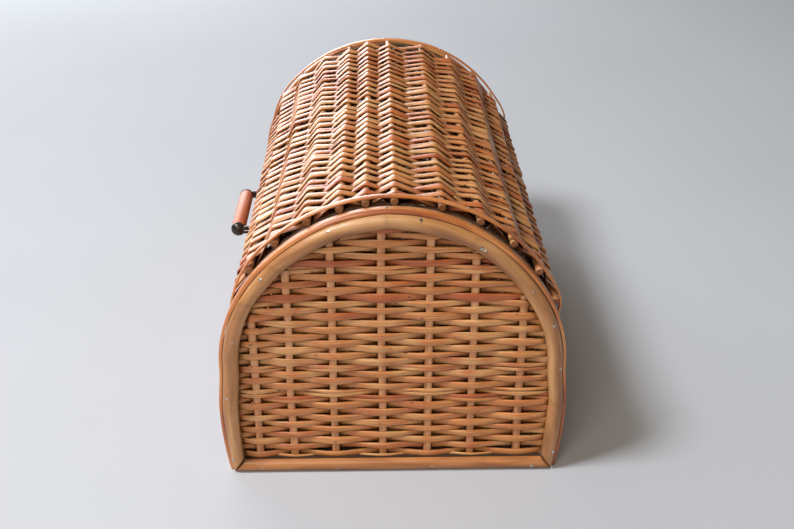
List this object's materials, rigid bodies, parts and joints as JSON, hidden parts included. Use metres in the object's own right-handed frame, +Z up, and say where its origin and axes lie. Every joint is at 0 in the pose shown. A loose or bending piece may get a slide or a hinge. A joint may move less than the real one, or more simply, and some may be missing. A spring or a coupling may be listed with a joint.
{
  "type": "wicker bread box",
  "caption": "Arched woven bread box with two cane-faced end frames and a woven half-round lid that turns back on end pins, with a small wooden front handle.",
  "frame": {"origin": "on the table, under the middle of the overall box (handle included)", "axes": "+X along the box's length, -Y towards the handle at the front, +Z up"},
  "size_m": [0.436, 0.2668, 0.2227],
  "materials": {
    "hoop_wood": "bare split stick, dull",
    "face_cane": "half-round cane, satin",
    "rim_cane": "flat cane, satin, reddish tan",
    "willow_weave": "split willow, bare",
    "willow_rod": "peeled willow rod, bare",
    "grip_wood": "turned, orange-brown varnish",
    "handle_black": "near-black gloss",
    "steel": "plain nail steel"
  },
  "bodies": {
    "basket": {"end_hoop_right": "hoop_wood", "end_sill_right": "hoop_wood", "end_weave_right": "willow_weave", "face_arch_right": "face_cane", "face_sill_right": "face_cane", "rim_band_right": "rim_cane", "hinge_pin_right": "steel", "end_stake_1_right": "willow_rod", "end_stake_2_right": "willow_rod", "end_stake_3_right": "willow_rod", "end_stake_4_right": "willow_rod", "end_stake_5_right": "willow_rod", "end_stake_6_right": "willow_rod", "end_stake_7_right": "willow_rod", "end_hoop_left": "hoop_wood", "end_sill_left": "hoop_wood", "end_weave_left": "willow_weave", "face_arch_left": "face_cane", "face_sill_left": "face_cane", "rim_band_left": "rim_cane", "hinge_pin_left": "steel", "end_stake_1_left": "willow_rod", "end_stake_2_left": "willow_rod", "end_stake_3_left": "willow_rod", "end_stake_4_left": "willow_rod", "end_stake_5_left": "willow_rod", "end_stake_6_left": "willow_rod", "end_stake_7_left": "willow_rod", "front_wall_weave": "willow_weave", "back_wall_weave": "willow_weave", "base_weave": "willow_weave", "front_top_rail": "willow_rod", "back_top_rail": "willow_rod", "front_bottom_rail": "willow_rod", "back_bottom_rail": "willow_rod"},
    "lid": {"lid_weave": "willow_weave", "lid_rod_1": "willow_rod", "lid_rod_2": "willow_rod", "lid_rod_3": "willow_rod", "lid_rod_4": "willow_rod", "lid_rod_5": "willow_rod", "lid_rod_6": "willow_rod", "lid_rod_7": "willow_rod", "lid_rod_8": "willow_rod", "lid_rod_9": "willow_rod", "lid_rod_10": "willow_rod", "lid_rod_11": "willow_rod", "lid_rod_12": "willow_rod", "lid_front_rail": "willow_rod", "lid_rear_rail": "willow_rod", "lid_hoop_right": "hoop_wood", "lid_hoop_left": "hoop_wood", "lid_band_right": "rim_cane", "lid_band_left": "rim_cane", "handle_grip": "grip_wood", "handle_foot_right": "handle_black", "handle_foot_left": "handle_black", "handle_screw_right": "steel", "handle_screw_left": "steel"}
  },
  "joints": [
    {"name": "lid_hinge", "type": "hinge", "parent": "basket", "child": "lid", "pos_m": [0, 0.1159, 0.113], "axis": [-1, 0, 0], "range_deg": [0, 100]}
  ]
}
